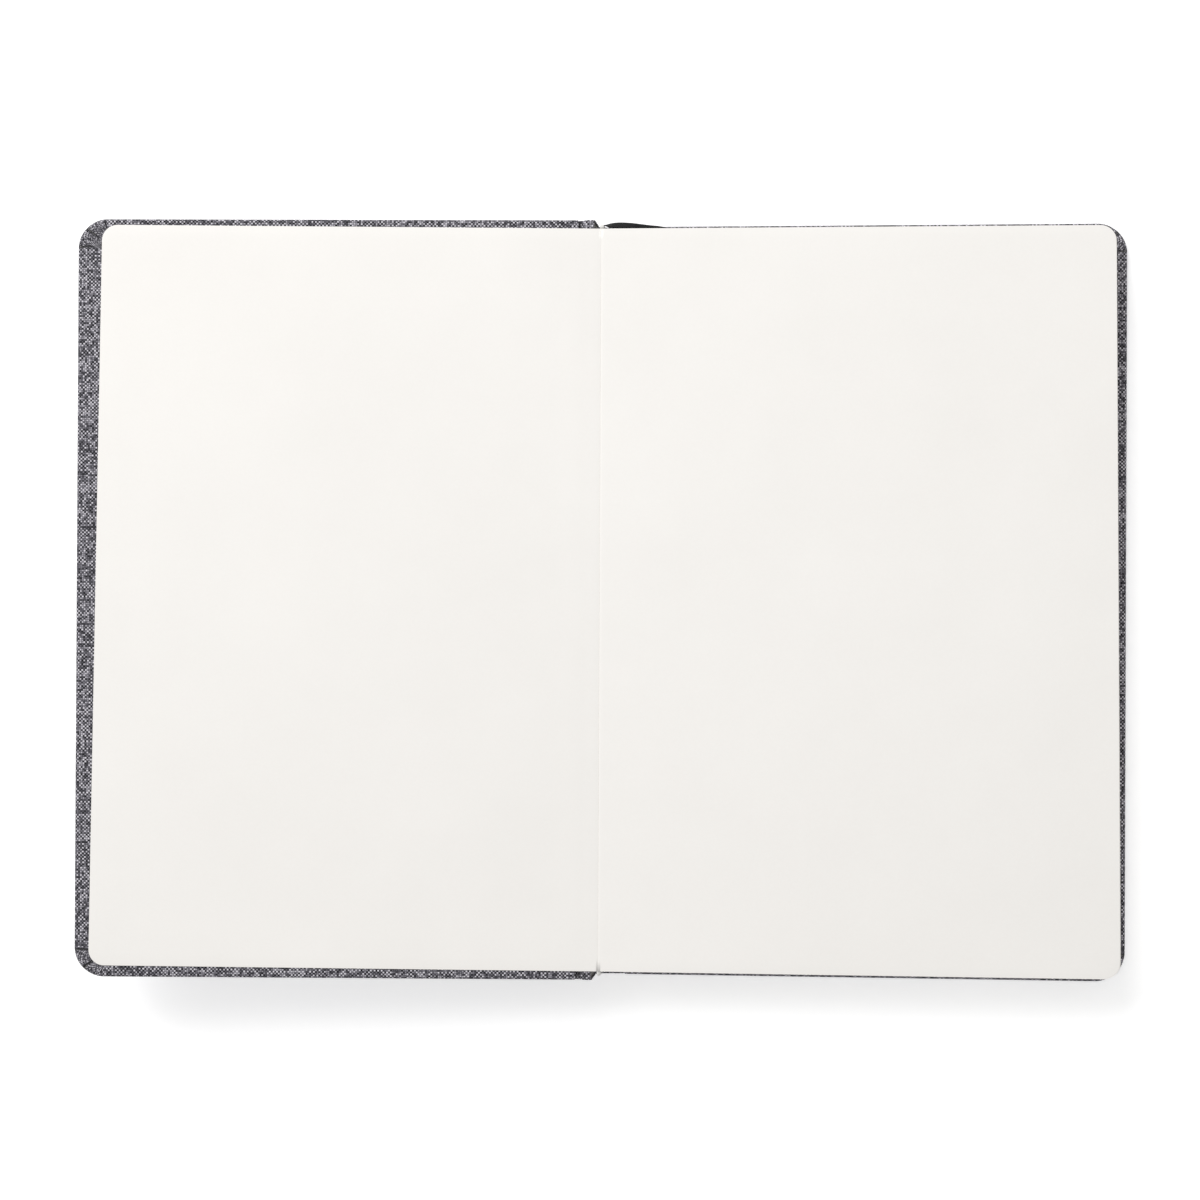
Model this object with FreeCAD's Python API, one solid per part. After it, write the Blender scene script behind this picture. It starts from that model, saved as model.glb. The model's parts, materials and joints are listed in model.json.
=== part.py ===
import FreeCAD, Part
import os

# A case-bound sketchbook, open at its first spread.
# It lies on its back cover. The front cover is open to the left.
# Frame: X runs across the spread from left to right, Y from tail to head, Z up.
# The origin is on the surface that the book lies on, under the middle of the gutter.
# Each part is drawn in the closed book. The front cover is then swung open.

# Driving dimensions, in millimetres and degrees
leaf_width = 145.0
leaf_height = 210.0
leaf_corner_radius = 4.5
leaf_thickness = 0.17
leaves_per_section = 8
section_count = 10
board_thickness = 2.2
cloth_thickness = 0.4
pastedown_thickness = 0.2
head_square = 2.5
fore_square = 3.5
cover_corner_radius = 8.5
cloth_edge_radius = 0.3
turn_in_width = 14.0
joint_width = 6.5
front_opening_angle = 176.0

# Clearances between neighbours
sheet_gap = 0.05
axis_gap = 0.03
cover_gap = 0.1
ribbon_gap = 0.25
joint_clearance = 0.3
flyleaf_start = 0.3

# Spine
mull_thickness = 0.3
mull_height = 186.0
mull_flap_reach = 30.0
lining_depth = 1.9
lining_wall = 0.3
lining_end_margin = 1.0
strip_thickness = 1.0
strip_edge_margin = 1.0
station_count = 6
station_pitch = 33.6
kerf_depth = 0.6
kerf_width = 0.8
band_radius = 0.6
fold_radius = 0.45

# Ribbon
ribbon_width = 6.0
ribbon_thickness = 0.2
ribbon_after_section = 4
ribbon_tab_length = 8.0
ribbon_entry = 20.0
ribbon_crest_place = 4.0
ribbon_crest = 2.2
ribbon_end_margin = 12.0

# How far a cutting block reaches past the part that it cuts
reach = 1.0

# Levels of the closed book, from the table up
half_leaf = leaf_height / 2
half_cover = half_leaf + head_square
cover_edge = leaf_width + fore_square
turn_in_level = 2 * cloth_thickness + board_thickness
cover_thickness = turn_in_level + pastedown_thickness
back_flyleaf_level = cover_thickness + cover_gap
block_level = back_flyleaf_level + leaf_thickness + sheet_gap
back_axis_level = back_flyleaf_level + leaf_thickness + axis_gap
section_thickness = leaves_per_section * leaf_thickness
ribbon_level = block_level + (section_count - ribbon_after_section) * section_thickness
block_top = block_level + section_count * section_thickness + ribbon_gap
front_flyleaf_level = block_top + sheet_gap
front_axis_level = front_flyleaf_level + leaf_thickness + axis_gap
front_cover_level = front_axis_level + cover_gap

# Depths behind the spine folds, counted towards the outside
lining_front = -mull_thickness
lining_back = lining_front - lining_depth
strip_back = lining_back - strip_thickness
spine_back = strip_back - cloth_thickness
joint_start = -spine_back + joint_clearance
strip_top = front_axis_level - strip_edge_margin
strip_bottom = back_axis_level + strip_edge_margin


def vector(x, y, z):
    return FreeCAD.Vector(x, y, z)


def block(x_low, x_high, y_low, y_high, z_low, z_high):
    """A plain box between two corners."""
    size = (x_high - x_low, y_high - y_low, z_high - z_low)
    return Part.makeBox(size[0], size[1], size[2], vector(x_low, y_low, z_low))


def sheet(x_low, x_high, half_height, z_low, z_high, radius):
    """A flat plate whose two corners at the fore-edge are round."""
    bend = radius * (1 - 0.5 ** 0.5)
    straight_x = x_high - radius
    straight_y = half_height - radius
    tail_arc = Part.Arc(
        vector(straight_x, -half_height, z_low),
        vector(x_high - bend, -half_height + bend, z_low),
        vector(x_high, -straight_y, z_low),
    )
    head_arc = Part.Arc(
        vector(x_high, straight_y, z_low),
        vector(x_high - bend, half_height - bend, z_low),
        vector(straight_x, half_height, z_low),
    )
    tail_spine = vector(x_low, -half_height, z_low)
    head_spine = vector(x_low, half_height, z_low)
    edges = [
        Part.LineSegment(tail_spine, tail_arc.StartPoint).toShape(),
        tail_arc.toShape(),
        Part.LineSegment(tail_arc.EndPoint, head_arc.StartPoint).toShape(),
        head_arc.toShape(),
        Part.LineSegment(head_arc.EndPoint, head_spine).toShape(),
        Part.LineSegment(head_spine, tail_spine).toShape(),
    ]
    outline = Part.Face(Part.Wire(edges))
    return outline.extrude(vector(0, 0, z_high - z_low))


def rim_edges(shape, levels, spine_edge):
    """The edges round a plate's rim at the given levels, without its straight spine edge."""
    chosen = []
    for edge in shape.Edges:
        box = edge.BoundBox
        level = any(abs(box.ZMin - z) < 0.001 and abs(box.ZMax - z) < 0.001 for z in levels)
        if level and box.XMax > spine_edge + 0.001:
            chosen.append(edge)
    return chosen


# Covers, drawn lying on the table with their inside upwards

def make_board():
    """The stiff grey board inside a cover."""
    return sheet(
        joint_width,
        cover_edge - cloth_thickness,
        half_cover - cloth_thickness,
        cloth_thickness,
        cloth_thickness + board_thickness,
        cover_corner_radius - cloth_thickness,
    )


def make_cover_cloth():
    """The linen glued round a board, with its turn-ins and the strip across the joint."""
    skin = sheet(joint_width, cover_edge, half_cover, 0, turn_in_level, cover_corner_radius)
    skin = skin.makeFillet(cloth_edge_radius, rim_edges(skin, (0, turn_in_level), joint_width))
    window = block(
        joint_width - reach,
        cover_edge - turn_in_width,
        turn_in_width - half_cover,
        half_cover - turn_in_width,
        cloth_thickness + board_thickness,
        turn_in_level + reach,
    )
    joint = block(joint_start, joint_width, -half_cover, half_cover, 0, 2 * cloth_thickness)
    fold = block(
        joint_start - reach,
        joint_width,
        turn_in_width - half_cover,
        half_cover - turn_in_width,
        cloth_thickness,
        3 * cloth_thickness,
    )
    return skin.cut(make_board()).cut(window).fuse(joint.cut(fold)).removeSplitter()


def make_mull_flap():
    """The gauze of the spine where it is glued down inside a cover."""
    return block(
        joint_start,
        mull_flap_reach,
        -mull_height / 2,
        mull_height / 2,
        cloth_thickness + board_thickness,
        cloth_thickness + board_thickness + mull_thickness,
    )


def make_pastedown():
    """The endpaper leaf glued over the inside of a cover."""
    return sheet(
        joint_start, leaf_width, half_leaf, turn_in_level, cover_thickness, leaf_corner_radius
    )


def make_cover():
    return {
        "board": make_board(),
        "cover_cloth": make_cover_cloth(),
        "mull_flap": make_mull_flap(),
        "pastedown": make_pastedown(),
    }


def place_front_cover_part(shape):
    """Turns a cover part over onto the closed block, then swings it open to the left."""
    closed = shape.mirror(vector(0, 0, 0), vector(0, 0, 1))
    closed.translate(vector(0, 0, front_cover_level + cover_thickness))
    closed.rotate(vector(0, 0, front_axis_level), vector(0, 1, 0), -front_opening_angle)
    return closed


# Text block

def make_flyleaf(level):
    """A loose endpaper leaf, hinged at the gutter."""
    top = level + leaf_thickness
    return sheet(flyleaf_start, leaf_width, half_leaf, level, top, leaf_corner_radius)


def station_heights():
    middle = (station_count - 1) / 2
    return [(index - middle) * station_pitch for index in range(station_count)]


def make_section(level):
    """One folded and nested section of leaves, sawn at the sewing stations."""
    section = sheet(0, leaf_width, half_leaf, level, level + section_thickness, leaf_corner_radius)
    folds = []
    for edge in section.Edges:
        box = edge.BoundBox
        if box.XMax < 0.001 and box.YMax - box.YMin > leaf_height / 2:
            folds.append(edge)
    section = section.makeFillet(fold_radius, folds)
    for height in station_heights():
        kerf = block(
            -reach,
            kerf_depth,
            height - kerf_width / 2,
            height + kerf_width / 2,
            level - reach,
            level + section_thickness + reach,
        )
        section = section.cut(kerf)
    return section


def section_level(number):
    """The underside of a section. Section 1 is the top one, under the front flyleaf."""
    below = section_count - number
    level = block_level + below * section_thickness
    if number <= ribbon_after_section:
        level += ribbon_gap
    return level


def make_sewing_thread():
    """The thread that links the sections, one run down the kerfs of each station."""
    runs = []
    for height in station_heights():
        start = vector(kerf_depth / 2, height, block_level)
        runs.append(Part.makeCylinder(kerf_depth / 2, block_top - block_level, start, vector(0, 0, 1)))
    return Part.makeCompound(runs)


def make_spine_mull():
    """The gauze glued across the folds of all the sections."""
    return block(lining_front, 0, -mull_height / 2, mull_height / 2, block_level, block_top)


def make_ribbon_tab():
    """The end of the ribbon that is glued down on the spine near the head."""
    middle = ribbon_level + ribbon_gap / 2
    return block(
        lining_front - ribbon_thickness,
        lining_front,
        half_leaf - ribbon_tab_length,
        half_leaf + 2 * band_radius,
        middle - ribbon_width / 2,
        middle + ribbon_width / 2,
    )


def make_spine_lining():
    """A flat paper tube between the block and the spine strip, which lets the spine flex."""
    half_height = half_leaf - lining_end_margin
    tube = block(lining_back, lining_front, -half_height, half_height, strip_bottom, strip_top)
    bore = block(
        lining_back + lining_wall,
        lining_front - lining_wall,
        -half_leaf,
        half_leaf,
        strip_bottom + lining_wall,
        strip_top - lining_wall,
    )
    return tube.cut(bore).cut(make_ribbon_tab())


def make_spine_strip():
    """The stiff strip inside the cloth of the spine."""
    half_height = half_cover - cloth_thickness
    return block(strip_back, lining_back, -half_height, half_height, strip_bottom, strip_top)


def make_spine_cloth():
    """The linen over the spine strip, turned in at head and tail."""
    skin = block(
        spine_back,
        lining_back + cloth_thickness,
        -half_cover,
        half_cover,
        strip_bottom - cloth_thickness,
        strip_top + cloth_thickness,
    )
    window = block(
        lining_back,
        lining_back + reach,
        -half_leaf,
        half_leaf,
        strip_bottom - reach,
        strip_top + reach,
    )
    return skin.cut(window).cut(make_spine_strip())


def make_band(side):
    """The woven band at one end of the spine: a bead on a tape. side is 1 at the head."""
    centre = vector(band_radius - mull_thickness, side * (half_leaf + band_radius), block_level)
    bead = Part.makeCylinder(band_radius, block_top - block_level, centre, vector(0, 0, 1))
    tape_low = side * (mull_height / 2)
    tape_high = side * (half_leaf + band_radius)
    tape = block(
        lining_front,
        0,
        min(tape_low, tape_high),
        max(tape_low, tape_high),
        block_level,
        block_top,
    )
    return bead.fuse(tape).removeSplitter()


def make_ribbon_arch():
    """The ribbon on edge, where it rises from the spine and bends over the head of the leaves."""
    bottom = ribbon_level + ribbon_gap / 2 - ribbon_width / 2
    start_y = half_leaf + 2 * band_radius
    crest_y = half_leaf + ribbon_crest
    end_y = half_leaf + 2 * ribbon_thickness
    outside = lining_front - ribbon_thickness
    outer = Part.Arc(
        vector(outside, start_y, bottom),
        vector(ribbon_crest_place, crest_y, bottom),
        vector(ribbon_entry, end_y, bottom),
    )
    inner = Part.Arc(
        vector(lining_front, start_y, bottom),
        vector(ribbon_crest_place, crest_y - ribbon_thickness, bottom),
        vector(ribbon_entry, end_y - ribbon_thickness, bottom),
    )
    edges = [
        outer.toShape(),
        Part.LineSegment(outer.EndPoint, inner.EndPoint).toShape(),
        inner.toShape(),
        Part.LineSegment(inner.StartPoint, outer.StartPoint).toShape(),
    ]
    return Part.Face(Part.Wire(edges)).extrude(vector(0, 0, ribbon_width))


def make_ribbon_marker():
    """The page ribbon: glued on the spine, over the head, then flat between two sections."""
    margin = (ribbon_gap - ribbon_thickness) / 2
    tail = block(
        ribbon_entry - ribbon_width,
        ribbon_entry,
        ribbon_end_margin - half_leaf,
        half_leaf + 2 * ribbon_thickness,
        ribbon_level + margin,
        ribbon_level + margin + ribbon_thickness,
    )
    return make_ribbon_tab().fuse([make_ribbon_arch(), tail]).removeSplitter()


def make_sketchbook():
    """Every part of the book, by name, in its place."""
    parts = {}
    for name, shape in make_cover().items():
        parts["back_" + name] = shape
        parts["front_" + name] = place_front_cover_part(shape)
    parts["back_flyleaf"] = make_flyleaf(back_flyleaf_level)
    parts["front_flyleaf"] = make_flyleaf(front_flyleaf_level)
    for number in range(1, section_count + 1):
        parts["section_%02d" % number] = make_section(section_level(number))
    parts["sewing_thread"] = make_sewing_thread()
    parts["spine_mull"] = make_spine_mull()
    parts["spine_lining"] = make_spine_lining()
    parts["spine_strip"] = make_spine_strip()
    parts["spine_cloth"] = make_spine_cloth()
    parts["head_band"] = make_band(1)
    parts["tail_band"] = make_band(-1)
    parts["ribbon_marker"] = make_ribbon_marker()
    return parts


os.makedirs("parts", exist_ok=True)
sketchbook = make_sketchbook()
for name, shape in sketchbook.items():
    shape.exportStep("parts/" + name + ".step")
    print(name, len(shape.Solids), round(shape.Volume, 2), shape.isValid())
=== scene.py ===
import json

import bpy
import numpy as np
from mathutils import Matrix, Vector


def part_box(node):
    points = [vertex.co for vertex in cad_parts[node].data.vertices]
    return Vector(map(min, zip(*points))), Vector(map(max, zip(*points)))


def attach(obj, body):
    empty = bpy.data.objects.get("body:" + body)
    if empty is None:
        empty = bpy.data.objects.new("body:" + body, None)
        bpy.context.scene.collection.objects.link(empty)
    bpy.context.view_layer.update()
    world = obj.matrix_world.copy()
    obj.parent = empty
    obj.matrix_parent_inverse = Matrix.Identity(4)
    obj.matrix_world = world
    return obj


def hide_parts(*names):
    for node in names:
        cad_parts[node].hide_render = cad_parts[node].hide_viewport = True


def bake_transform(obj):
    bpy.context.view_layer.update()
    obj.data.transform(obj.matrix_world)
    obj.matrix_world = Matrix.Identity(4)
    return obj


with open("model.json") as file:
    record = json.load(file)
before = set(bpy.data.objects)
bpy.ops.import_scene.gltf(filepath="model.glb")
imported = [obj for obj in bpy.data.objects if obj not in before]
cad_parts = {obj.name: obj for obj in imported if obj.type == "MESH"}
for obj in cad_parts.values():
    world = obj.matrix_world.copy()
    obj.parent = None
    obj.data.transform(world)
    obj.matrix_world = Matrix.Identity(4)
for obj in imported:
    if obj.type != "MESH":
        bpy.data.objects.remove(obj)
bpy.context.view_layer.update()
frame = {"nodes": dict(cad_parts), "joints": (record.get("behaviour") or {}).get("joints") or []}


# The boards: two stiff sheets of grey board, one in each cover, cut with two round corners, and
# the stiff strip down the spine. Recycled pulp pressed flat, so the grey is flecked with darker
# and lighter fibre. Glued inside the cloth.

mm = 0.001


def new_finish(name):
    """A new material: returns it, its node tree and its shader node."""
    made = bpy.data.materials.new(name)
    made.use_nodes = True
    return made, made.node_tree, made.node_tree.nodes["Principled BSDF"]


def add(tree, kind, inputs=(), **settings):
    """A new node of one kind. Each input is a value, or a socket to link from."""
    made = tree.nodes.new("ShaderNode" + kind)
    for name, value in settings.items():
        setattr(made, name, value)
    for place, value in dict(inputs).items():
        if isinstance(value, bpy.types.NodeSocket):
            tree.links.new(value, made.inputs[place])
        else:
            made.inputs[place].default_value = value
    return made


def grey(value):
    """An even grey, as a colour socket takes it."""
    return (value, value, value, 1)


def object_place(tree):
    """The place on the object, in metres."""
    return add(tree, "TexCoord").outputs["Object"]


def shade(tree, amount, stops):
    """Turns an amount from 0 to 1 into a colour, through a list of (place, colour) stops."""
    ramp = add(tree, "ValToRGB", {"Fac": amount})
    while len(ramp.color_ramp.elements) < len(stops):
        ramp.color_ramp.elements.new(0.5)
    for stop, (place, colour) in zip(ramp.color_ramp.elements, stops):
        stop.position = place
        stop.color = (*colour, 1)
    return ramp.outputs["Color"]


def raise_surface(tree, shader, height, depth):
    """Bumps the surface by height, from 0 to 1, times depth in metres."""
    bump = add(tree, "Bump", {"Height": height, "Distance": depth, "Strength": 1})
    tree.links.new(bump.outputs["Normal"], shader.inputs["Normal"])


def pressed_pulp(name, dark, light, fleck_scale):
    """Flecked pulp: a fine noise between two colours, which also raises the surface a little."""
    made, tree, shader = new_finish(name)
    place = object_place(tree)
    fleck = add(tree, "TexNoise", {"Vector": place, "Scale": fleck_scale, "Detail": 6, "Roughness": 0.7})
    colour = shade(tree, fleck.outputs["Fac"], [(0.35, dark), (0.65, light)])
    tree.links.new(colour, shader.inputs["Base Color"])
    raise_surface(tree, shader, fleck.outputs["Fac"], 0.05 * mm)
    shader.inputs["Roughness"].default_value = 0.9
    return made


def give_finish(node, finish):
    """A carried-over CAD node takes a finish in its material slot."""
    for slot in frame["nodes"][node].material_slots:
        slot.material = finish


board_finish = pressed_pulp("grey_board", (0.16, 0.155, 0.15), (0.34, 0.33, 0.32), 900)
for node in ("front_board", "back_board", "spine_strip"):
    give_finish(node, board_finish)


# The linen of each cover: one cloth glued over the board, lapped round its edges and turned in.
# At the round corners the spare cloth is gathered into short pleats on the inside.

cover_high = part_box("back_cover_cloth")[1]
board_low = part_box("back_board")[0]
half_cover = cover_high.y
cover_edge = cover_high.x
board_start = board_low.x
cloth_thickness = board_low.z
turn_in_level = cover_high.z
turn_in_width = 14 * mm
corner_radius = 8.5 * mm
edge_roundness = 0.9 * mm
hinge_places = {joint["name"]: np.array(joint["pos_m"]) for joint in frame["joints"]}
front_axis = hinge_places["front_cover_hinge"]
back_axis = hinge_places["back_cover_hinge"]
closed_height = front_axis[2] + (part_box("back_pastedown")[1].z + 0.1 * mm)
opening = np.radians(176)


def steps(start, end, count):
    """Evenly spaced values from start to end, both included."""
    return np.linspace(start, end, count)


def soft_step(amount):
    """Rises from 0 to 1 as amount does, level at both ends: 3a^2 - 2a^3."""
    held = np.clip(amount, 0, 1)
    return held * held * (3 - 2 * held)


def inset_outline(inset, straight_count, corner_count):
    """The line that runs round a cover at one distance in from its edge, from the tail of the
    hinge side, round two corners, to the head of the hinge side. Each corner is a quarter circle
    whose radius is the corner's own less the inset. Rows are insets, columns are places."""
    inset = np.asarray(inset)[:, None]
    radius = np.maximum(corner_radius - inset, 0.3 * mm)
    x_turn = cover_edge - inset - radius
    y_turn = half_cover - inset - radius
    y_turn_held = np.maximum(y_turn, 0)
    leg = steps(0, 1, straight_count)[None, :-1]
    bend = steps(0, np.pi / 2, corner_count)[None, :-1]
    side = steps(-1, 1, straight_count)[None, :-1]
    x_leg = board_start + (x_turn - board_start) * leg
    y_leg = np.maximum(half_cover - inset, 0) * np.ones_like(leg)
    x_bend = x_turn + radius * np.sin(bend)
    y_bend = y_turn_held + radius * np.cos(bend) * (y_turn > 0)
    x_side = (cover_edge - inset) * np.ones_like(side)
    y_side = y_turn_held * side
    back = bend[:, ::-1] + bend[0, 1]
    x_return = x_turn + radius * np.sin(back)
    y_return = y_turn_held + radius * np.cos(back) * (y_turn > 0)
    leg_back = steps(1, 0, straight_count)[None, :]
    x_leg_back = board_start + (x_turn - board_start) * leg_back
    y_leg_back = np.maximum(half_cover - inset, 0) * np.ones_like(leg_back)
    x = np.hstack([x_leg, x_bend, x_side, x_return, x_leg_back])
    y = np.hstack([-y_leg, -y_bend, y_side, y_return, y_leg_back])
    return x, y


def grid_faces(rows, columns, closed_columns=False, flipped=False):
    """The four corners of every cell of a grid of points, as rows of point numbers."""
    number = np.arange(rows * columns).reshape(rows, columns)
    if closed_columns:
        number = np.hstack([number, number[:, :1]])
    corners = [number[:-1, :-1], number[:-1, 1:], number[1:, 1:], number[1:, :-1]]
    faces = np.stack(corners, -1).reshape(-1, 4)
    return faces[:, ::-1] if flipped else faces


def make_piece(name, points, faces, finish, flat_places=None):
    """A new object from points and faces. flat_places, in metres, become its UV map."""
    mesh = bpy.data.meshes.new(name)
    mesh.from_pydata(points.reshape(-1, 3).tolist(), [], [list(face) for face in faces])
    mesh.polygons.foreach_set("use_smooth", np.ones(len(mesh.polygons), bool))
    if flat_places is not None:
        corner = np.zeros(len(mesh.loops), int)
        mesh.loops.foreach_get("vertex_index", corner)
        layer = mesh.uv_layers.new(name="cut")
        layer.uv.foreach_set("vector", flat_places.reshape(-1, 2)[corner].astype(np.float32).ravel())
    mesh.materials.append(finish)
    made = bpy.data.objects.new(name, mesh)
    bpy.context.scene.collection.objects.link(made)
    return made


def thicken(piece, thickness):
    """Gives a surface its thickness, on the side that its faces turn away from."""
    wall = piece.modifiers.new("thickness", "SOLIDIFY")
    wall.thickness = thickness
    wall.offset = -1
    piece.modifiers.new("face_weighted_normals", "WEIGHTED_NORMAL")


def swing_open(points):
    """Takes points of a cover lying inside up to the open front cover: turned over onto the
    block, then swung about the front hinge by its opening angle."""
    x, y, z = points[..., 0], points[..., 1], closed_height - points[..., 2] - front_axis[2]
    cosine, sine = np.cos(opening), -np.sin(opening)
    return np.stack([x * cosine + z * sine, y, front_axis[2] - x * sine + z * cosine], -1)


def linen():
    """A plain weave of light and dark threads. Each crossing is a rounded knuckle, with its own
    tone, each thread has another, and slubs run along both. Gaps between threads are darkened
    with painted shade."""
    made, tree, shader = new_finish("linen")
    pitch = 0.52 * mm
    cut = add(tree, "UVMap", uv_map="cut").outputs["UV"]
    place = object_place(tree)
    drift = add(tree, "TexNoise", {"Vector": cut, "Scale": 260, "Detail": 2})
    middle = (0.5, 0.5, 0.5)
    centred = add(tree, "VectorMath", {0: drift.outputs["Color"], 1: middle}, operation="SUBTRACT")
    drifted = add(tree, "VectorMath", {0: centred.outputs[0], 3: 0.9}, operation="SCALE")
    counted = add(tree, "VectorMath", {0: cut, 3: 1 / pitch}, operation="SCALE")
    threads = add(tree, "VectorMath", {0: counted.outputs[0], 1: drifted.outputs[0]}, operation="ADD")
    cell = add(tree, "VectorMath", {0: threads.outputs[0]}, operation="FLOOR")
    within = add(tree, "VectorMath", {0: threads.outputs[0]}, operation="FRACTION")
    cell_parts = add(tree, "SeparateXYZ", {0: cell.outputs[0]})
    within_parts = add(tree, "SeparateXYZ", {0: within.outputs[0]})

    def maths(operation, first, second=0.0, third=0.0):
        return add(tree, "Math", {0: first, 1: second, 2: third}, operation=operation).outputs[0]

    crossing = maths("ADD", cell_parts.outputs["X"], cell_parts.outputs["Y"])
    weft_over = maths("FLOORED_MODULO", crossing, 2)
    across_warp = maths("SINE", maths("MULTIPLY", within_parts.outputs["X"], np.pi))
    across_weft = maths("SINE", maths("MULTIPLY", within_parts.outputs["Y"], np.pi))
    knuckle = maths("MULTIPLY", across_warp, across_weft)
    cell_tone = add(tree, "TexWhiteNoise", {"Vector": cell.outputs[0]}, noise_dimensions="2D")
    speckle = cell_tone.outputs["Value"]

    def thread_tone(number):
        """One random tone to each thread, from its number."""
        return add(tree, "TexWhiteNoise", {"W": number}, noise_dimensions="1D").outputs["Value"]

    def slub(scale):
        """Thick and thin places drawn out along the threads of one direction."""
        stretch = add(tree, "Mapping", {"Vector": cut, "Scale": scale})
        noise = add(tree, "TexNoise", {"Vector": stretch.outputs[0], "Scale": 1, "Detail": 2})
        return noise.outputs["Fac"]

    wear = add(tree, "TexNoise", {"Vector": place, "Scale": 22, "Detail": 4}).outputs["Fac"]
    warp_base = maths("MULTIPLY_ADD", slub((1800, 160, 1)), 0.3, 0.02)
    weft_base = maths("MULTIPLY_ADD", slub((160, 1800, 1)), 0.3, 0.42)
    warp = maths("MULTIPLY_ADD", thread_tone(cell_parts.outputs["X"]), 0.12, warp_base)
    weft = maths("MULTIPLY_ADD", thread_tone(cell_parts.outputs["Y"]), 0.12, weft_base)
    thread = add(tree, "Mix", {0: weft_over, 2: warp, 3: weft}).outputs[0]
    mixed = maths("MULTIPLY_ADD", maths("SUBTRACT", speckle, 0.5), 0.7, thread)
    worn = maths("MULTIPLY_ADD", maths("SUBTRACT", wear, 0.5), 0.18, mixed)
    # Painted shade: the tone falls off from each knuckle's crown towards the gaps between threads.
    lit = maths("MULTIPLY", worn, maths("MULTIPLY_ADD", knuckle, 0.6, 0.6))
    # Painted shade: the colour is darkened almost to black along the pleats' creases, by the crease
    # depth kept on each cover's cloth.
    painted_crease_shade = add(tree, "Attribute", attribute_name="painted_crease_shade").outputs["Fac"]
    sunk_and_shaded = maths("MULTIPLY", lit, maths("MULTIPLY_ADD", painted_crease_shade, -0.97, 1))
    colour = shade(tree, sunk_and_shaded, [
        (0.0, (0.010, 0.010, 0.013)),
        (0.25, (0.055, 0.053, 0.063)),
        (0.5, (0.24, 0.23, 0.262)),
        (0.8, (0.74, 0.72, 0.77)),
    ])
    tree.links.new(colour, shader.inputs["Base Color"])
    raise_surface(tree, shader, knuckle, 0.12 * mm)
    shader.inputs["Roughness"].default_value = 0.85
    shader.inputs["Specular IOR Level"].default_value = 0.25
    shader.inputs["Sheen Weight"].default_value = 0.15
    shader.inputs["Sheen Roughness"].default_value = 0.5
    return made


def pleats(x, y, inset):
    """Height of the gathered cloth at the round corners: a fan of two broad ridges, each steep
    on one side with a crease at its foot, that starts at the edge and is pressed flat under the
    endpaper. Returns the height and how deep in a crease each place is, from 0 to 1; the linen
    darkens its colour by the second as painted shade."""
    corner_x, corner_y = cover_edge - corner_radius, half_cover - corner_radius
    angle = np.arctan2(np.abs(y) - corner_y, x - corner_x)
    share = angle / (np.pi / 2)
    fan = 2.2 * (share - 0.07) + 0.03 * np.sign(y) + 0.05 * np.sin(inset / (0.8 * mm))
    within = fan - np.floor(fan)
    sunk_and_shaded = np.exp(-(np.minimum(within, 1 - within) / 0.07) ** 2)
    ridge = within ** 1.6 - 1.9 * sunk_and_shaded
    around = soft_step((share + 0.02) / 0.06) * soft_step((1 - share) / 0.1)
    along = soft_step((inset + 0.5 * mm) / (0.9 * mm)) * soft_step((6 * mm - inset) / (3 * mm))
    corner = (x > corner_x - 2 * mm) & (np.abs(y) > corner_y - 2 * mm)
    held = around * along * corner
    return 0.25 * mm * ridge * held, held * sunk_and_shaded


def cover_linen(name, place, flipped, body):
    """The cover's cloth. Along its width it runs over the outside, round a rounded edge of two
    quarter circles, and back over the turn-in to its cut edge. That profile is carried round the
    cover's outline. Rows follow the profile, columns the outline."""
    outside = np.maximum(half_cover * (1 - steps(0, 1, 26)[:-1] ** 0.8), edge_roundness)
    outside = np.unique(outside)[::-1]
    quarter = steps(0, np.pi / 2, 7)
    turned_in = steps(0, 1, 30)[1:]
    inset = np.concatenate([
        outside,
        edge_roundness * (1 - np.sin(quarter[1:])),
        edge_roundness * (1 - np.cos(quarter)),
        edge_roundness + (turn_in_width - edge_roundness) * turned_in ** 1.3,
    ])
    level = np.concatenate([
        0 * outside,
        edge_roundness * (1 - np.cos(quarter[1:])),
        turn_in_level - edge_roundness * (1 - np.sin(quarter)),
        np.full(len(turned_in), turn_in_level),
    ])
    run = np.concatenate([[0], np.cumsum(np.hypot(np.diff(inset), np.diff(level)))])
    flat_inset = inset[0] - run
    x, y = inset_outline(inset, 46, 90)
    flat_x, flat_y = inset_outline(flat_inset, 46, 90)
    on_turn_in = (np.arange(len(inset)) >= len(outside) + len(quarter))[:, None]
    pleat, painted_crease_shade = pleats(x, y, inset[:, None])
    raised = pleat * on_turn_in
    glue = 0.03 * mm * np.sin(x / (3.1 * mm)) * np.sin(y / (4.3 * mm) + x / (9 * mm)) * on_turn_in
    z = level[:, None] + raised + glue
    points = place(np.stack([x, y, z], -1))
    faces = grid_faces(*x.shape, flipped=flipped)
    made = make_piece(name, points, faces, linen_finish, np.stack([flat_x, flat_y], -1))
    # Keeps each place's crease depth on the cloth, for the linen to darken it as painted shade.
    painted_shade_layer = made.data.attributes.new("painted_crease_shade", "FLOAT", "POINT")
    painted_shade_layer.data.foreach_set("value", (painted_crease_shade * on_turn_in).astype(np.float32).ravel())
    closing = made.modifiers.new("closing", "WELD")
    closing.merge_threshold = 0.001 * mm
    thicken(made, cloth_thickness)
    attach(made, body)
    return made


def stay(points):
    """Leaves points of a cover lying inside up where they are: the back cover is at rest so."""
    return points


linen_finish = linen()
front_linen = cover_linen("front_cover_linen", swing_open, True, "front_cover")
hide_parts("front_cover_cloth")
back_linen = cover_linen("back_cover_linen", stay, False, "back_cover")
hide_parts("back_cover_cloth")


# The gauze: one strip of open weave glued over the folds, with a flap inside each cover.
# Stiff sized cotton, buff, with paste in its holes.

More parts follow.
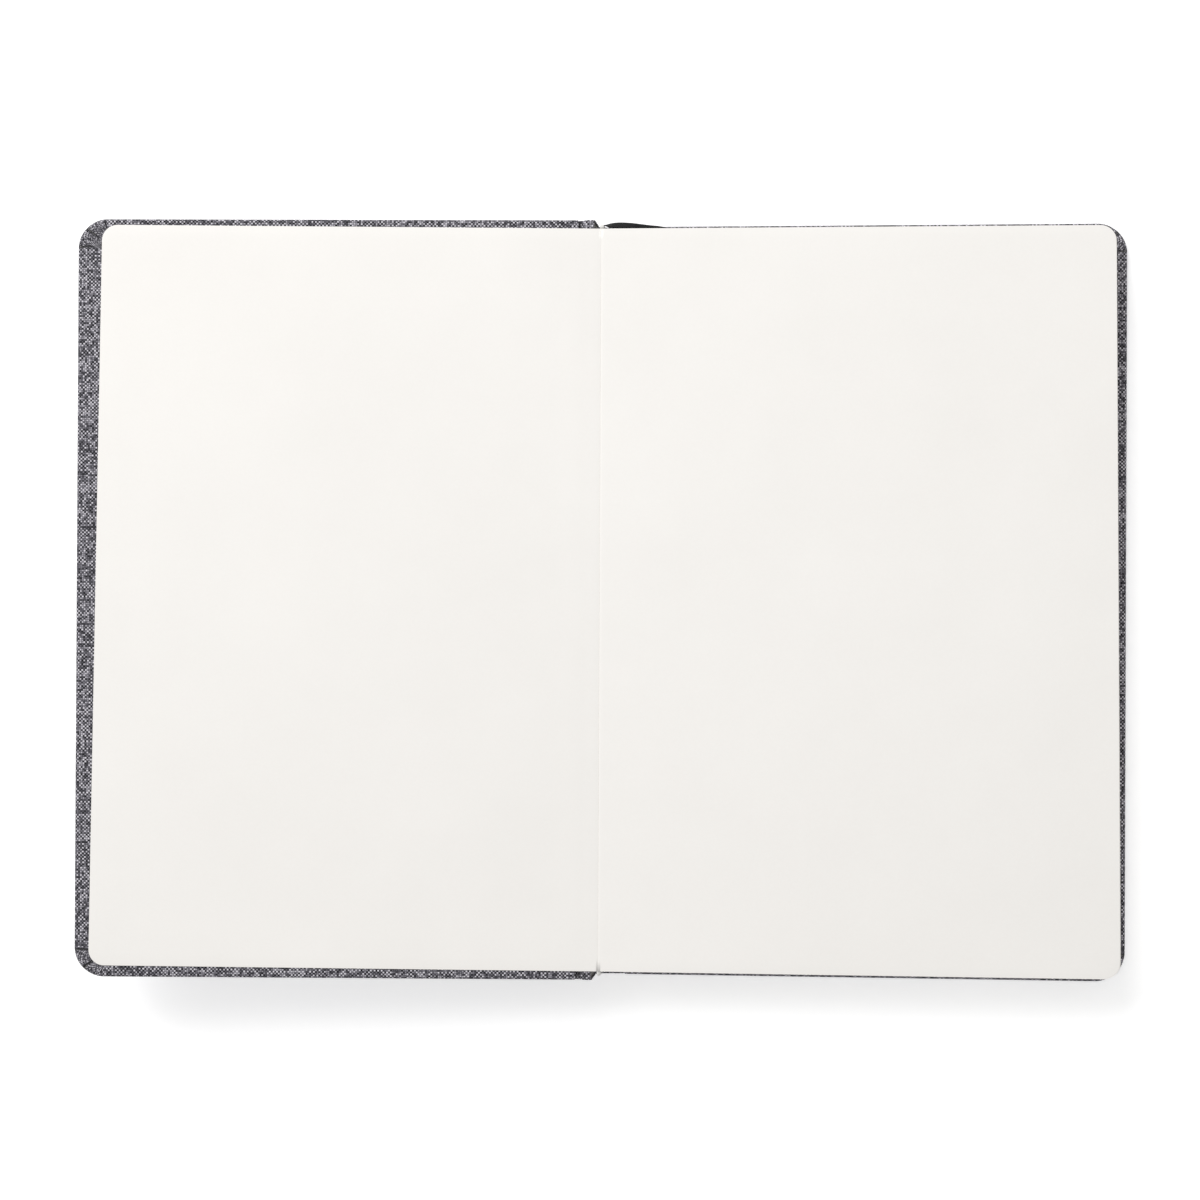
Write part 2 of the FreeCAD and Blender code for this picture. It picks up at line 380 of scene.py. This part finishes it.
def gauze():
    """Crossed threads: the higher of two rows of ridges, one along each direction, pale over paste."""
    made, tree, shader = new_finish("gauze")
    parts = add(tree, "SeparateXYZ", {0: object_place(tree)})
    pitch = 1.1 * mm

    def ridge(coordinate):
        """A row of ridges across one direction, from 0 to 1, as a sine."""
        per_thread = 2 * np.pi / pitch
        turned = add(tree, "Math", {0: coordinate, 1: per_thread}, operation="MULTIPLY").outputs[0]
        wave = add(tree, "Math", {0: turned}, operation="SINE").outputs[0]
        return add(tree, "Math", {0: wave, 1: 0.5, 2: 0.5}, operation="MULTIPLY_ADD").outputs[0]

    along = add(tree, "Math", {0: parts.outputs["X"], 1: parts.outputs["Z"]}, operation="ADD").outputs[0]
    rows = {0: ridge(along), 1: ridge(parts.outputs["Y"])}
    height = add(tree, "Math", rows, operation="MAXIMUM").outputs[0]
    colour = shade(tree, height, [(0.45, (0.42, 0.36, 0.27)), (0.85, (0.72, 0.68, 0.58))])
    tree.links.new(colour, shader.inputs["Base Color"])
    raise_surface(tree, shader, height, 0.1 * mm)
    shader.inputs["Roughness"].default_value = 0.9
    return made


gauze_finish = gauze()
for node in ("front_mull_flap", "back_mull_flap", "spine_mull"):
    give_finish(node, gauze_finish)


# The endpaper leaf pasted inside each cover: strong smooth paper, off-white, trimmed with the
# leaves. It is glued from the board's hinge edge outwards and bridges the joint to the gutter.

block_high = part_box("section_10")[1]
half_leaf = block_high.y
leaf_width = block_high.x
leaf_corner = 4.5 * mm
pastedown_thickness = 0.2 * mm


def paper(name, shadowed, lit, tooth):
    """Paper: a soft cloudy tone from the pulp, and a fine tooth that only bumps the surface."""
    made, tree, shader = new_finish(name)
    place = object_place(tree)
    cloud = add(tree, "TexNoise", {"Vector": place, "Scale": 28, "Detail": 5, "Roughness": 0.6})
    fibre = add(tree, "TexNoise", {"Vector": place, "Scale": 1500, "Detail": 3, "Roughness": 0.6})
    both = add(tree, "Mix", {0: 0.35, 2: cloud.outputs["Fac"], 3: fibre.outputs["Fac"]}).outputs[0]
    tree.links.new(shade(tree, both, [(0.3, shadowed), (0.7, lit)]), shader.inputs["Base Color"])
    raise_surface(tree, shader, fibre.outputs["Fac"], tooth)
    shader.inputs["Roughness"].default_value = 0.75
    shader.inputs["Specular IOR Level"].default_value = 0.3
    return made


def leaf_columns(straight_count, corner_count, gather=1):
    """Places across a leaf from its hinge edge to its fore-edge, as shares of the leaf's width,
    and half its height at each. Beyond the corner's centre both follow a quarter circle. Above
    1, gather is a power that draws the places closer together near the hinge edge."""
    turn = leaf_width - leaf_corner
    bend = steps(0, np.pi / 2, corner_count)
    straight = turn * steps(0, 1, straight_count)[:-1] ** gather
    across = np.concatenate([straight, turn + leaf_corner * np.sin(bend)])
    half = np.concatenate([
        np.full(straight_count - 1, half_leaf),
        half_leaf - leaf_corner * (1 - np.cos(bend)),
    ])
    return across / leaf_width, half


def pastedown(name, place, flipped, fore_head, fore_tail, skew):
    """The pasted leaf, in the cover's own place, inside up. Its fore-edge runs straight from its
    head to its tail, and the leaf climbs towards the head by skew times the distance from the
    gutter. Over the joint it dips: a half wave whose depth is greatest half way. At the gutter
    it slopes into the fold: a smooth step and a steeper exponential."""
    share, half = leaf_columns(120, 12, gather=2)
    up = steps(-1, 1, 61)[:, None]
    y = up * half
    fore = (fore_head + fore_tail) / 2 + (fore_head - fore_tail) / 2 * (y / half_leaf)
    x = share * fore
    dip = 0.04 * mm * np.sin(np.pi * np.clip(x / board_start, 0, 1)) ** 2
    near_edge = np.minimum(np.minimum(cover_edge - x, half_cover - np.abs(y)) / turn_in_width, 1)
    hollow = 0.07 * mm * soft_step((near_edge - 0.9) / 0.1) * soft_step(x / board_start - 1)
    fold = 0.08 * mm * soft_step(1 - x / (2.9 * mm)) + 0.07 * mm * np.exp(-x / (0.4 * mm))
    z = turn_in_level + pastedown_thickness - dip - hollow - fold
    points = place(np.stack([x, y + skew * x, z], -1))
    made = make_piece(name + "_paper", points, grid_faces(*x.shape, flipped=flipped), endpaper_finish)
    thicken(made, pastedown_thickness)
    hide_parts(name)
    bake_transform(made)
    return made


endpaper_finish = paper("endpaper", (0.895, 0.872, 0.838), (0.93, 0.908, 0.874), 0.006 * mm)
pastedown("front_pastedown", swing_open, True, 141.6 * mm, 144.4 * mm, 0.0055)
pastedown("back_pastedown", stay, False, 144.0 * mm, 145.0 * mm, -0.003)


# The flyleaf: the loose half of each endpaper, folded at the gutter. It lies on the leaves,
# not quite flat, and swells a little where it comes out of the fold.

def flyleaf(name, level, swell):
    """The loose leaf. Its height over the leaves is a low rise near the gutter, falling off as
    an exponential, and two shallow waves across the page that die out at the gutter."""
    share, half = leaf_columns(120, 12, gather=2)
    up = steps(-1, 1, 71)[:, None]
    y = up * half
    fore = leaf_width + fore_slant * y / half_leaf
    x = share * fore
    rise = swell * np.exp(-((x - 9 * mm) / (7 * mm)) ** 2) * (0.7 + 0.3 * np.cos(y / (60 * mm)))
    wave = 0.35 * swell * (1 + np.sin(x / (21 * mm) + y / (47 * mm))) * soft_step(x / (30 * mm))
    z = level + rise + wave - fold_dip * np.exp(-x / (0.4 * mm)) + 0 * y
    made = make_piece(name + "_paper", np.stack([x, y, z], -1), grid_faces(*x.shape), endpaper_finish)
    thicken(made, leaf_thickness)
    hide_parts(name)
    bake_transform(made)
    return made


fold_dip = 0.13 * mm
flyleaf_low, flyleaf_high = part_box("front_flyleaf")
leaf_thickness = flyleaf_high.z - flyleaf_low.z
fore_slant = -0.9 * mm
flyleaf("front_flyleaf", flyleaf_high.z - 0.02 * mm, 0.05 * mm)
flyleaf("back_flyleaf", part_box("back_flyleaf")[1].z, 0.0)


# The sections: four sheets of drawing paper folded once and nested, eight leaves to a section.
# Sewn through the fold, then trimmed together on three sides, so their edges are nearly flush.

def folded_section(name, number, seed):
    """Nested folded sheets. Each sheet runs from its lower fore-edge to the fold, round half an
    ellipse, and back to its upper fore-edge. The fold is notched at the sewing stations by
    bell-shaped dents, and every leaf's fore-edge is a little off the knife's line."""
    low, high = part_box(name)
    chance = np.random.default_rng(seed)
    height = high.z - low.z
    share, half = leaf_columns(16, 8)
    bend = steps(-np.pi / 2, np.pi / 2, 11)[1:-1]
    near = stations[:, None] + np.array([-1.2, -0.45, 0, 0.45, 1.2]) * mm
    up = np.unique(np.concatenate([steps(-1, 1, 23), near.ravel() / half_leaf]))[:, None]
    all_points, all_faces, start = [], [], 0
    for sheet in range(sheets_per_section):
        lower = low.z + leaf_gap / 2 + sheet * height / leaves_per_section
        upper = high.z - leaf_gap / 2 - sheet * height / leaves_per_section
        depth = fold_depth * (1 - sheet / (sheets_per_section + 1))
        fold_x = sheet * sheet_paper + depth * (1 - np.cos(bend))
        fold_z = (lower + upper) / 2 + (upper - lower) / 2 * np.sin(bend)
        flat_x, flat_half = share[1:], half[1:]
        uneven = chance.uniform(-0.14, 0.14, 2) * mm
        fore = leaf_width + fore_slant * up
        leaf_start = fold_x[0]
        x_low = leaf_start + flat_x * (fore + uneven[0] - leaf_start)
        x_high = leaf_start + flat_x * (fore + uneven[1] - leaf_start)
        x = np.hstack([x_low[:, ::-1], np.broadcast_to(fold_x, (len(up), len(fold_x))), x_high])
        half_here = np.concatenate([flat_half[::-1], np.full(len(bend), half_leaf), flat_half])
        y = up * (half_here - chance.uniform(0, 0.14) * mm)
        z_line = np.concatenate([np.full(len(flat_x), lower), fold_z, np.full(len(flat_x), upper)])
        dent = sum(np.exp(-((y - place) / (0.42 * mm)) ** 4) for place in stations)
        x = x + notch_depth * dent * np.exp(-(x / (1.6 * mm)) ** 2)
        points = np.stack([x, y, np.broadcast_to(z_line, x.shape)], -1).reshape(-1, 3)
        all_points.append(points)
        all_faces.append(grid_faces(*x.shape) + start)
        start += len(points)
    points, faces = np.concatenate(all_points), np.concatenate(all_faces)
    made = make_piece(name + "_leaves", points, faces, leaf_finish)
    thicken(made, sheet_paper)
    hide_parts(name)
    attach(made, "text_block")


leaf_finish = paper("drawing_paper", (0.84, 0.815, 0.775), (0.90, 0.875, 0.835), 0.012 * mm)
section_count = 10
sheets_per_section = 4
leaves_per_section = 2 * sheets_per_section
sheet_paper = 0.14 * mm
leaf_gap = 0.03 * mm
fold_depth = 0.5 * mm
notch_depth = 0.6 * mm
station_pitch = 33.6 * mm
stations = (np.arange(6) - 2.5) * station_pitch
for number in range(1, section_count + 1):
    folded_section("section_%02d" % number, number, number)


# The sewing thread: waxed linen that runs down the notches and links section to section.
# Natural linen, two plies, glued over.

def thread_finish():
    """Twisted plies: slanting bands on the place along and round the thread."""
    made, tree, shader = new_finish("sewing_thread")
    band = add(tree, "TexWave", {"Vector": object_place(tree), "Scale": 700, "Distortion": 1.5},
               wave_type="BANDS", bands_direction="DIAGONAL")
    colour = shade(tree, band.outputs["Fac"], [(0.1, (0.45, 0.40, 0.31)), (0.9, (0.78, 0.74, 0.65))])
    tree.links.new(colour, shader.inputs["Base Color"])
    raise_surface(tree, shader, band.outputs["Fac"], 0.08 * mm)
    shader.inputs["Roughness"].default_value = 0.6
    return made


give_finish("sewing_thread", thread_finish())


# The head and tail bands: a cord bead wrapped in thread, on a tape glued to the spine.
# The wrapping is pale and dark by turns and stands proud as fine ridges.

def band(name, side):
    """The bead and its tape have one outline: up the tape, round the bead and back. It is carried
    up the spine. On the bead the outline swells with the wrapping: a rectified sine."""
    low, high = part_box(name)
    radius = 0.6 * mm
    centre_x, centre_y = radius - 0.3 * mm, half_leaf + radius
    tape_end = low.y if side > 0 else -high.y
    bend = np.radians(steps(180, -120, 26))
    tape = steps(0, 1, 8)[:-1]
    count = 360
    level = steps(low.z, high.z, count)[:, None]
    ridge = np.abs(np.sin(np.pi * (level - low.z) / wrap_pitch + 0.5 * np.sin(bend)[None, :]))
    swollen = radius * (0.9 + 0.1 * ridge)
    bead_x = centre_x + swollen * np.cos(bend)
    bead_y = centre_y + swollen * np.sin(bend)
    one = np.ones((count, 1))
    x = np.hstack([one * low.x * np.ones_like(tape), bead_x, 0 * one * tape])
    y = np.hstack([one * (tape_end + (centre_y - tape_end) * tape), bead_y,
                   one * (tape_end + (centre_y - 0.9 * radius - tape_end) * tape[::-1])])
    z = np.broadcast_to(level, x.shape)
    points = np.stack([x, side * y, z], -1)
    faces = grid_faces(*x.shape, closed_columns=True, flipped=side > 0).tolist()
    ends = [np.arange(x.shape[1]), np.arange(x.shape[1]) + x.shape[1] * (count - 1)]
    faces += [ends[0][::1 if side > 0 else -1].tolist(), ends[1][::-1 if side > 0 else 1].tolist()]
    made = make_piece(name + "_thread", points, faces, band_finish)
    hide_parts(name)
    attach(made, "text_block")


def band_thread():
    """Wrapping in two tones that change every few turns, from the height up the spine."""
    made, tree, shader = new_finish("band_thread")
    height = add(tree, "SeparateXYZ", {0: object_place(tree)}).outputs["Z"]
    turns = add(tree, "Math", {0: height, 1: np.pi / (2 * wrap_pitch)}, operation="MULTIPLY").outputs[0]
    wave = add(tree, "Math", {0: turns}, operation="SINE").outputs[0]
    stripe = add(tree, "Math", {0: wave, 1: 0.5, 2: 0.5}, operation="MULTIPLY_ADD").outputs[0]
    colour = shade(tree, stripe, [(0.42, (0.02, 0.02, 0.022)), (0.58, (0.80, 0.79, 0.76))])
    tree.links.new(colour, shader.inputs["Base Color"])
    shader.inputs["Roughness"].default_value = 0.45
    shader.inputs["Sheen Weight"].default_value = 0.3
    return made


wrap_pitch = 0.36 * mm
band_finish = band_thread()
band("head_band", 1)
band("tail_band", -1)


# The ribbon: black satin, six millimetres wide, glued on the spine behind the head band. It
# comes over the head in a loose loop, twists flat and lies between two sections.

def smooth_line(points, count):
    """A smooth line through points: on each span a cubic whose slope at each point is the step
    between its two neighbours over the length of that step. Every span has as many places."""
    points = np.asarray(points, float)
    ends = 2 * points[0] - points[1], 2 * points[-1] - points[-2]
    padded = np.concatenate([ends[:1], points, ends[1:]])
    gap = np.linalg.norm(np.diff(padded, axis=0), axis=1)
    slope = (padded[2:] - padded[:-2]) / (gap[1:] + gap[:-1])[:, None]
    where = steps(0, len(points) - 1 - 1e-9, count)
    span = where.astype(int)
    t = (where - span)[:, None]
    length = gap[1:-1][span][:, None]
    return (
        points[span] * (2 * t ** 3 - 3 * t ** 2 + 1)
        + length * slope[span] * (t ** 3 - 2 * t ** 2 + t)
        + points[span + 1] * (3 * t ** 2 - 2 * t ** 3)
        + length * slope[span + 1] * (t ** 3 - t ** 2)
    )


def satin():
    """Black satin: fine ribs across the ribbon from its own map, and a soft stretched sheen painted into
    its colour.
    """
    made, tree, shader = new_finish("satin")
    cut = add(tree, "UVMap", uv_map="cut").outputs["UV"]
    ribs = add(tree, "TexWave", {"Vector": cut, "Scale": 500, "Distortion": 0.4},
               wave_type="BANDS", bands_direction="X")
    along = add(tree, "Mapping", {"Vector": cut, "Scale": (300, 4000, 1)})
    # Painted sheen: faint lighter streaks drawn out along the ribbon, in its colour.
    painted_sheen = add(tree, "TexNoise", {"Vector": along.outputs[0], "Scale": 1, "Detail": 3})
    black, near_black = (0.002, 0.002, 0.002), (0.010, 0.010, 0.011)
    colour = shade(tree, painted_sheen.outputs["Fac"], [(0.3, black), (0.75, near_black)])
    tree.links.new(colour, shader.inputs["Base Color"])
    raise_surface(tree, shader, ribs.outputs["Fac"], 0.04 * mm)
    shader.inputs["Roughness"].default_value = 0.6
    shader.inputs["Specular IOR Level"].default_value = 0.02
    return made


def ribbon():
    """The strip ruled between its two edges, which are smooth lines through the same places:
    on the spine, over the head band, at the crest, where it lies down, and down to its end."""
    places_along, places_across = 260, 9
    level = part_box("section_05")[1].z + 0.22 * mm
    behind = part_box("ribbon_marker")[0].x
    tail_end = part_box("ribbon_marker")[0].y
    top, foot = 14.8 * mm, 8.8 * mm
    over = half_leaf
    crest_top, crest_foot = top + 1.6 * mm, foot + 1.7 * mm
    upper_edge = smooth_line([
        (behind, over - 8 * mm, top), (behind, over - 3 * mm, top), (behind, over + 0.8 * mm, top),
        (0.4 * mm, over + 1.38 * mm, top + 0.6 * mm), (2.2 * mm, over + 0.6 * mm, crest_top),
        (5.0 * mm, over + 0.35 * mm, crest_top), (9.0 * mm, over + 0.35 * mm, crest_top - 1.6 * mm),
        (12.4 * mm, over + 0.3 * mm, level + 1.0 * mm), (14.0 * mm, over - 1.0 * mm, level),
        (14.0 * mm, over - 6 * mm, level), (13.6 * mm, over - 60 * mm, level),
        (13.9 * mm, over - 130 * mm, level), (14.3 * mm, tail_end, level),
    ], places_along)
    lower_edge = smooth_line([
        (behind, over - 8 * mm, foot), (behind, over - 3 * mm, foot), (behind, over + 0.8 * mm, foot),
        (0.5 * mm, over + 2.0 * mm, foot + 0.8 * mm), (3.2 * mm, over + 2.6 * mm, crest_foot),
        (7.0 * mm, over + 2.6 * mm, crest_foot), (12.5 * mm, over + 1.9 * mm, crest_foot + 0.3 * mm),
        (18.2 * mm, over + 0.9 * mm, level - 0.3 * mm), (20.0 * mm, over - 1.0 * mm, level),
        (20.0 * mm, over - 6 * mm, level), (19.6 * mm, over - 60 * mm, level),
        (19.9 * mm, over - 130 * mm, level), (20.3 * mm, tail_end + 1.2 * mm, level),
    ], places_along)
    across = steps(0, 1, places_across)[None, :, None]
    points = upper_edge[:, None] * (1 - across) + lower_edge[:, None] * across
    middle = (upper_edge + lower_edge) / 2
    run = np.concatenate([[0], np.cumsum(np.linalg.norm(np.diff(middle, axis=0), axis=1))])
    flat = np.stack(np.broadcast_arrays(run[:, None], ribbon_width * across[..., 0]), -1)
    faces = grid_faces(places_along, places_across, flipped=True)
    made = make_piece("ribbon_satin", points, faces, satin(), flat)
    thicken(made, ribbon_thickness)
    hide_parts("ribbon_marker")
    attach(made, "text_block")


ribbon_width = 6 * mm
ribbon_thickness = 0.2 * mm
ribbon()


# The hollow lining: a flat tube of kraft paper glued to the spine, between block and cover.
# Brown unbleached pulp with fine specks.

give_finish("spine_lining", pressed_pulp("kraft", (0.30, 0.19, 0.10), (0.42, 0.29, 0.17), 1400))


# The spine and joint linen: the middle of the same cloth, glued over the spine strip, and free
# where it folds in the joint between the strip and each board.

strip_low, strip_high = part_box("spine_strip")
spine_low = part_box("spine_cloth")[0]


def spine_linen():
    """The cloth on the strip: an outline that runs from the turned-in tail round the end of the
    strip, up its back and round to the turned-in head, carried from one side of the strip to
    the other. Its back bows out as a low parabola."""
    radius = 0.6 * mm
    inner = strip_high.x + 0.4 * mm
    quarter = steps(0, np.pi / 2, 6)
    back = steps(-(half_cover - radius), half_cover - radius, 120)[1:-1]
    outer = spine_low.x
    lap = steps(inner, outer + radius, 6)[:-1]
    x = np.concatenate([
        lap, outer + radius * (1 - np.sin(quarter)), np.full(len(back), outer),
        outer + radius * (1 - np.cos(quarter)), lap[::-1],
    ])
    y = np.concatenate([
        np.full(len(lap), -half_cover), -half_cover + radius * (1 - np.cos(quarter)), back,
        half_cover - radius * (1 - np.sin(quarter)), np.full(len(lap), half_cover),
    ])
    z = steps(strip_low.z, strip_high.z, 25)[:, None]
    middle, reach = (strip_low.z + strip_high.z) / 2, (strip_high.z - strip_low.z) / 2
    on_back = (x < outer + radius)[None, :]
    x = x[None, :] - 0.25 * mm * (1 - ((z - middle) / reach) ** 2) * on_back
    y, z = np.broadcast_to(y, x.shape), np.broadcast_to(z, x.shape)
    run = np.concatenate([[0], np.cumsum(np.hypot(np.diff(x[0]), np.diff(y[0])))])
    flat = np.stack([z, np.broadcast_to(run, x.shape)], -1)
    faces = grid_faces(*x.shape, flipped=True)
    made = make_piece("spine_linen", np.stack([x, y, z], -1), faces, linen_finish, flat)
    thicken(made, cloth_thickness)
    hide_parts("spine_cloth")
    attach(made, "text_block")


def joint_linen(name, line, axis, flipped, cut_start):
    """A strip of the joint: a smooth line across the joint, given in millimetres from the hinge
    axis, carried from tail to head. It bends between the block and the cover, from start to
    end across the joint."""
    across = smooth_line(np.array(line) * mm, 26)
    up = steps(-1, 1, 90)[None, :]
    half = half_cover - end_clearance
    x = across[:, :1] + 0 * up
    z = axis[2] + across[:, 1:] + 0 * up
    y = up * half + 0 * x
    lengths = np.linalg.norm(np.diff(across, axis=0), axis=1)
    run = cut_start + np.concatenate([[0], np.cumsum(lengths)])
    flat = np.stack([run[:, None] + 0 * up, y], -1)
    faces = grid_faces(*x.shape, flipped=flipped)
    made = make_piece(name, np.stack([x, y, z], -1), faces, linen_finish, flat)
    thicken(made, cloth_thickness)
    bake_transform(made)


end_clearance = 0.02 * mm
second_cut = 5 * mm
spine_linen()
joint_linen("front_joint_fold", [
    (-3.6, -1.0), (-3.6, -0.95), (-3.5, -0.78), (-3.25, -0.66), (-2.6, -0.62), (-2.1, -0.60),
], front_axis, True, 0)
joint_linen("front_joint_linen", [
    (-2.1, -0.58), (-2.7, -0.585), (-3.3, -0.66), (-3.9, -0.95), (-4.6, -1.5), (-6.0, -2.6),
    (-6.714, -2.839),
], front_axis, True, second_cut)
joint_linen("back_joint_fold", [
    (-3.6, 1.0), (-3.6, 0.6), (-2.89, 0.0), (-2.4, -0.5), (-1.96, -0.95), (-1.3, -1.55),
    (-0.45, -2.15),
], back_axis, False, 0)
joint_linen("back_joint_linen", [
    (-0.45, -2.15), (0.6, -2.6), (1.69, -2.81), (3.67, -2.95), (5.55, -3.3), (6.5, -3.5),
], back_axis, False, second_cut)


# The table: a plain pale surface that the sketchbook lies on. It glows a little and evenly, so
# that it stays near white under soft light.

def table_top():
    """One square face, level with the underside of the back cover."""
    made, tree, shader = new_finish("table_top")
    shader.inputs["Base Color"].default_value = grey(0.9)
    shader.inputs["Roughness"].default_value = 0.9
    shader.inputs["Emission Color"].default_value = grey(1)
    shader.inputs["Emission Strength"].default_value = 0.42
    reach = 12.0
    points = np.array([[-reach, -reach, 0], [reach, -reach, 0], [reach, reach, 0], [-reach, reach, 0]])
    floor = make_piece("table_top", points, [[0, 1, 2, 3]], made)


table_top()


# The lights: a broad panel up beyond the head, a weaker one opposite, and an even pale sky.

def soft_light(name, place, aim, size, power):
    """A square area light at a place, turned towards a point."""
    data = bpy.data.lights.new(name, "AREA")
    data.size = size
    data.energy = power
    made = bpy.data.objects.new(name, data)
    made.location = place
    direction = np.array(aim) - np.array(place)
    made.rotation_euler = Vector(direction).to_track_quat("-Z", "Y").to_euler()
    bpy.context.scene.collection.objects.link(made)


soft_light("sky_panel", (-0.55, 0.9, 1.0), (-0.05, 0.05, 0), 1.0, 15.6)
soft_light("fill_panel", (0.9, -0.7, 1.5), (0, 0, 0), 1.6, 1.9)
world = bpy.data.worlds.new("studio")
world.use_nodes = True
world.node_tree.nodes["Background"].inputs["Color"].default_value = grey(1)
world.node_tree.nodes["Background"].inputs["Strength"].default_value = 0.515
bpy.context.scene.world = world
bpy.context.scene.view_settings.view_transform = "Standard"


# The camera: a long lens above the spread, a little to the back cover's side and leaning back
# towards the gutter.

camera_data = bpy.data.cameras.new("camera")
camera_data.lens = 86.4
camera_data.sensor_width = 36
camera = bpy.data.objects.new("camera", camera_data)
camera.location = (71.1 * mm, -5.1 * mm, 828.5 * mm)
camera.rotation_mode = "ZXY"
camera.rotation_euler = np.radians((0.354, 5.0, 0.269))
bpy.context.scene.collection.objects.link(camera)
bpy.context.scene.camera = camera
